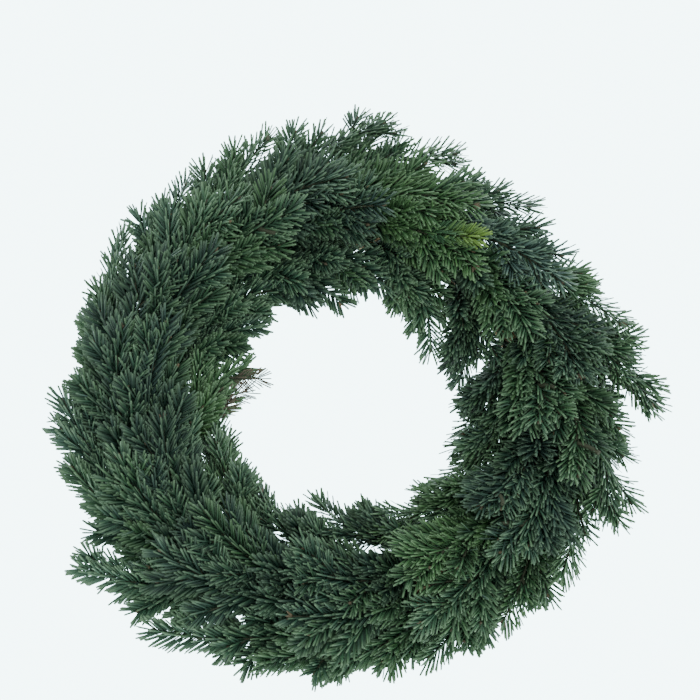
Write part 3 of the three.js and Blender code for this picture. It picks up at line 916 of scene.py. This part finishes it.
total = 0
seed = 0
for row_name, row in ROWS.items():
    for i, (tip, letter) in enumerate(zip(row["tips"], LOOKS[row_name]), start=1):
        seed += 1
        piece, count = grow_spray(f"spray_{row_name}_{i:02d}", row_name, tip, letter, seed)
        finish_piece(piece, "fir", f"fir_spray_{row_name}_{i:02d}")
        total += count
print("sprays", seed, "needles in all", total)

# %% [markdown]
# ## Dry, young and cut twigs
# A wreath of real fir has its accidents. One sprig at the hole's left edge has dried and turned brown, with
# thin needles that stand apart. At the upper right, one young shoot lies with a bright yellow-green tip over
# the darker foliage. Here and there a side twig was snipped off, and its pale wood shows. All grow from the
# main twig of a spray, like its other side twigs, so they are placed by the same function.

# %% Dry sprig, young shoot and snipped ends
DRY_SPRIGS = [  # row, number, place along the main twig, direction across the section, length
    ("inner", 1, 0.62, 188, 46), ("inner", 1, 0.85, 176, 36), ("inner", 1, 0.42, 180, 46),
]
DRY_SPLIT = math.radians(50)
DRY_PER_MM = 1.0
DRY_PARTED = 10
DRY_LENGTH = 0.8 * NEEDLE_LENGTH
DRY_WIDTH = 0.6  # against a fresh needle
YOUNG_SHOOT = ("face", 5, 0.45, 40, 66)
SHOOT_SPLIT = math.radians(16)
SHOOT_PER_MM = 1.7
SHOOT_PARTED = 14
SHOOT_LENGTH = 0.9 * NEEDLE_LENGTH
SHOOT_YOUTH = (-0.5, 1)  # at its root and its tip: what is under 0 is as dark as older needles
YOUTH_SPREAD = 0.1
SNIPPED = [
    ("shoulder", 8, 0.80, 30, 30), ("face", 7, 0.62, 40, 26), ("shoulder", 9, 0.74, 150, 30),
    ("face", 8, 0.8, 40, 26), ("face", 3, 0.7, 150, 26),
]
SNIPPED_SPLIT = math.radians(62)
SNIPPED_THICK = 2.6 * MM
SNIPPED_THIN = 0.8 * SNIPPED_THICK


def side_of(row_name, number_in_row, *side, split):
    row = ROWS[row_name]
    return side_twig(main_twig(row, row["tips"][number_in_row - 1]), *side, split=split)


def small_sprig(name, grown, twigs, finish):
    needles = lay_copies(name, NEEDLE, grown)
    needles.data.materials.append(finish.material)
    tubes = draw_twigs(name + "_twigs", twigs)
    tubes.data.materials.append(bark.material)
    finish_piece(join([needles, tubes]), "fir")


luck = np.random.default_rng(500)
dry_twigs = [side_of(*sprig, split=DRY_SPLIT) for sprig in DRY_SPRIGS]
dry_grown = joined([grow_needles(twig, DRY_PER_MM, DRY_PARTED, DRY_LENGTH, luck) for twig in dry_twigs])
dry_grown["width"] *= DRY_WIDTH
dry_grown["tone"] = luck.random((len(dry_grown["length"]), 3))
small_sprig("dry_sprig", dry_grown, dry_twigs, dry)

luck = np.random.default_rng(501)
shoot_twig = side_of(*YOUNG_SHOOT, split=SHOOT_SPLIT)
shoot_grown = grow_needles(shoot_twig, SHOOT_PER_MM, SHOOT_PARTED, SHOOT_LENGTH, luck)
youth = lerp(*SHOOT_YOUTH, shoot_grown["share"]) + luck.normal(0, YOUTH_SPREAD, len(shoot_grown["share"]))
shoot_grown["tone"] = np.stack([youth] * 3, axis=-1)
small_sprig("young_shoot", shoot_grown, [shoot_twig], shoot)

snipped = [side_of(*stub, split=SNIPPED_SPLIT) for stub in SNIPPED]
for twig in snipped:
    twig.thick, twig.thin = SNIPPED_THICK, SNIPPED_THIN
finish_piece(barked_twigs("snipped_twigs", snipped), "fir")
print("dry needles", len(dry_grown["length"]), "snipped twigs", len(snipped))
print("young shoot's needles", len(youth), "tip", [round(x / MM) for x in shoot_twig.points[-1]])

# %% [markdown]
# ## The straw ring
# The ring's core is straw, pressed round and bound so that it keeps its shape. The solid has the right size,
# and it stays as the core. The stalks on its surface are modelled once as a thin six-sided tube, subdivided
# along its length, and copies are bent round the ring by their clock angle, each at its own slant and depth.

# %% One stalk
STALK_STEPS = 8
HEXAGON = math.tan(math.radians(30))  # height over width of two faces side by side that round off to one

select_none()
bpy.ops.mesh.primitive_grid_add(x_subdivisions=2, y_subdivisions=1, size=2)
stalk = bpy.context.object
bpy.ops.object.mode_set(mode="EDIT")
bpy.ops.mesh.select_mode(type="FACE")
bpy.ops.mesh.select_all(action="SELECT")
bpy.ops.transform.resize(value=(1, HEXAGON, 1))
bpy.ops.transform.tosphere(value=1)
for _ in range(STALK_STEPS):
    bpy.ops.mesh.extrude_region_move(TRANSFORM_OT_translate={"value": (0, 0, 1 / STALK_STEPS)})
bpy.ops.object.mode_set(mode="OBJECT")
stalk_points = np.array([v.co for v in stalk.data.vertices])
stalk_points[:, :2] /= np.linalg.norm(stalk_points[:, :2], axis=1).max()
stalk_faces = np.array([face.vertices for face in stalk.data.polygons])
bpy.data.objects.remove(stalk)
print("stalk", len(stalk_points), "points", len(stalk_faces), "faces")

# %% Stalks round the ring
STALKS = 420
STALK_RADIUS = 1.5  # millimetres, as the section's distances are
STALK_WIDTHS = (0.7, 1.15)  # against that radius
STALK_LENGTH = (110, 190)
STALK_BAND = (-36, 216)  # degrees round the section, clear of the flat back
STALK_SUNK = (0.2, 1.7)
STALK_SLANT = 9


def one_each(low, high):
    return luck.uniform(low, high, (STALKS, 1))


luck = np.random.default_rng(600)
across_stalk, off_stalk, place = stalk_points.T[:, None]
radius = STALK_RADIUS * one_each(*STALK_WIDTHS)
away = STRAW_RADIUS / MM - one_each(*STALK_SUNK)
clock = one_each(0, 360) + np.degrees(one_each(*STALK_LENGTH) * MM / RING_RADIUS) * place
around = one_each(*STALK_BAND) + luck.normal(0, STALK_SLANT, (STALKS, 1)) * place
around = np.clip(around, *STALK_BAND) + np.degrees(across_stalk * radius / away)
points = beside_ring(clock, around, away + off_stalk * radius)
faces = stalk_faces[None] + (np.arange(STALKS) * len(stalk_points))[:, None, None]
stalk_tone = np.repeat(luck.random((STALKS, 3)), len(stalk_points), axis=0)
straw_stalks = mesh_of("straw_stalks", points, faces, tone=stalk_tone)
bpy.context.view_layer.objects.active = straw_stalks
bpy.ops.object.mode_set(mode="EDIT")
bpy.ops.mesh.select_all(action="SELECT")
bpy.ops.mesh.normals_make_consistent(inside=False)
bpy.ops.object.mode_set(mode="OBJECT")
finish_piece(straw_stalks, "straw")
print("stalks", STALKS, "faces", len(straw_stalks.data.polygons))

# %% [markdown]
# ## The binding wire
# One long wire holds the stems: over the front in an arc, and straight under the flat back. It is a closed
# curve through a few points for each turn, with soft handles over the front and sharp ones at the back, and
# a round bevel.

# %% The binding wire
WIRE_RADIUS = 0.65 * MM
WIRE_AWAY = 34.4
WIRE_HEIGHT = 1.1 * MM  # of its points under the back, which alone lie that low
WIRE_UNDER = [(-0.2, -17), (-0.14, 17)]  # share of a turn, and how far out from the section's middle
WIRE_OVER = np.linspace(-24, 204, 7)

pitch = 360 / WIRE_TURNS
wire_points = []
for turn in range(WIRE_TURNS):
    for share, off in WIRE_UNDER:
        clock = math.radians((turn + share) * pitch)
        out = RING_RADIUS + off * MM
        x, y = RING_CENTRE.x + out * math.cos(clock), RING_CENTRE.y + out * math.sin(clock)
        wire_points.append((x, y, WIRE_HEIGHT))
    wire_points += [tuple(p) for p in beside_ring((turn + WIRE_OVER / 360) * pitch, WIRE_OVER, WIRE_AWAY)]
winding = bpy.data.curves.new("wire_winding", "CURVE")
winding.dimensions = "3D"
winding.bevel_depth = WIRE_RADIUS
winding.bevel_resolution = 1
winding.resolution_u = 4
line = winding.splines.new("BEZIER")
line.bezier_points.add(len(wire_points) - 1)
line.use_cyclic_u = True
for knot, place in zip(line.bezier_points, wire_points):
    knot.co = place
    knot.handle_left_type = knot.handle_right_type = "VECTOR" if place[2] < 2 * WIRE_HEIGHT else "AUTO"
wire_winding = bpy.data.objects.new("wire_winding", winding)
bpy.context.scene.collection.objects.link(wire_winding)
wire_winding = as_mesh(wire_winding)
finish_piece(wire_winding, "wire", "binding_wire")
print("wire", len(wire_points), "points", len(wire_winding.data.polygons), "faces")

# %% [markdown]
# Dry straw is golden and greyer where it has aged, with darker stains and a slight shine. The core between
# the stalks is painted darker, as painted shade, over the pattern of its chaff. The wire has a dark green
# lacquer over steel.

# %% Straw and wire finishes
STRAW_DARK, STRAW_GOLD = (0.24, 0.155, 0.06), (0.52, 0.38, 0.18)
STRAW_GREY, STRAW_STAIN = (0.30, 0.26, 0.19), (0.14, 0.09, 0.04)
# Both core colours are darker than the stalks' straw: partly the chaff's pattern, partly painted shade
# between the stalks.
CORE_PAINTED_SHADE, CORE_GOLD_IN_PAINTED_SHADE = (0.09, 0.055, 0.02), (0.36, 0.26, 0.12)
WIRE_GREEN, WIRE_WORN = (0.015, 0.035, 0.018), (0.06, 0.085, 0.055)

stalk_finish = Finish("straw_stalks", roughness=0.55)
stalk_light, stalk_grey, _ = stalk_finish.attribute("tone")
stains = stalk_finish.noise(260.0, 4.0)
stalk_colour = stalk_finish.mix(stalk_light, STRAW_DARK, STRAW_GOLD)
stalk_colour = stalk_finish.mix(stalk_grey * 0.5, stalk_colour, STRAW_GREY)
stalk_colour = stalk_finish.mix(stains.band(0.5, 0.75) * 0.6, stalk_colour, STRAW_STAIN)
stalk_finish.feed("Base Color", stalk_colour)
stalk_finish.bump(stains, strength=0.4, distance=0.3 * MM)
straw_stalks.data.materials.append(stalk_finish.material)

straw = Finish("packed_straw", roughness=0.85)
chaff = straw.noise(420.0, 5.0, Distortion=1.5)
straw.feed("Base Color", straw.mix(chaff.band(0.3, 0.7), CORE_PAINTED_SHADE, CORE_GOLD_IN_PAINTED_SHADE))
straw.bump(chaff, strength=0.8, distance=1.0 * MM)
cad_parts["straw_ring"].data.materials.clear()
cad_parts["straw_ring"].data.materials.append(straw.material)

wire = Finish("green_wire", roughness=0.4, Metallic=0.5)
tarnish = wire.noise(500.0, 3.0)
wire.feed("Base Color", wire.mix(tarnish.band(0.4, 0.7), WIRE_GREEN, WIRE_WORN))
wire.feed("Roughness", 0.28 + tarnish * 0.3)
wire_winding.data.materials.append(wire.material)
print("finishes", [finish.material.name for finish in (stalk_finish, straw, wire)])

# %% [markdown]
# ## The stage
# A pale floor lies right under the wreath. The camera sees it as an even backdrop, and it throws soft light
# back up between the needles. The other light comes from a bright even sky, a weak lamp at the upper right
# and a large soft lamp on the camera's side.

# %% The stage
FLOOR_SIZE = 60
FLOOR_GAP = 0.5 * MM
FLOOR_COLOUR = (0.80, 0.87, 0.89, 1)
FLOOR_GLOW_COLOUR = (0.86, 0.97, 1.0, 1)
FLOOR_GLOW = 2.2
BACKDROP = (0.72, 0.98, 1.0, 1)
BACKDROP_GLOW = 8.5
SKY_COLOUR = (0.90, 0.965, 1.0, 1)
SKY_STRENGTH = 1.05
FRONT_LAMP_AWAY = 3.2

select_none()
bpy.ops.mesh.primitive_plane_add(size=FLOOR_SIZE, location=(0, 0, -FLOOR_GAP))
floor = bpy.context.object
floor.name = "floor"
paper = Finish("floor_paper", roughness=0.9, Base_Color=FLOOR_COLOUR)
paper.shader.inputs["Emission Color"].default_value = FLOOR_GLOW_COLOUR
paper.shader.inputs["Emission Strength"].default_value = FLOOR_GLOW
seen = paper.node("ShaderNodeLightPath", {}, [])
backdrop = paper.node("ShaderNodeEmission", {}, [BACKDROP, BACKDROP_GLOW])
paper.show(paper.node("ShaderNodeMixShader", {}, [seen, paper.surface, backdrop]))
floor.data.materials.append(paper.material)
floor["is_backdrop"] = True

world = bpy.data.worlds.new("sky")
world.use_nodes = True
sky_light = world.node_tree.nodes["Background"]
sky_light.inputs["Color"].default_value = SKY_COLOUR
sky_light.inputs["Strength"].default_value = SKY_STRENGTH
bpy.context.scene.world = world


def soft_lamp(name, place, size, watts):
    lamp = bpy.data.objects.new(name, bpy.data.lights.new(name, "AREA"))
    bpy.context.scene.collection.objects.link(lamp)
    lamp.data.size = size
    lamp.data.energy = watts
    lamp.location = place
    lamp.rotation_euler = (-lamp.location).to_track_quat("-Z", "Y").to_euler()


soft_lamp("window_lamp", (1.2, 0.5, 1.6), size=0.9, watts=11)
soft_lamp("front_lamp", -look * FRONT_LAMP_AWAY, size=2.2, watts=13)

# %% [markdown]
# ## Sizes
# The boxes of the solids and of the dressed wreath are printed side by side. The
# dressed wreath has to fill the box of the solids and go only a little past it.

# %% Sizes
boxes = {"cad": CAD_BOX, "visual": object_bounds()}
for title, box in boxes.items():
    print(title, [[round(x / MM, 1) for x in corner] for corner in box])
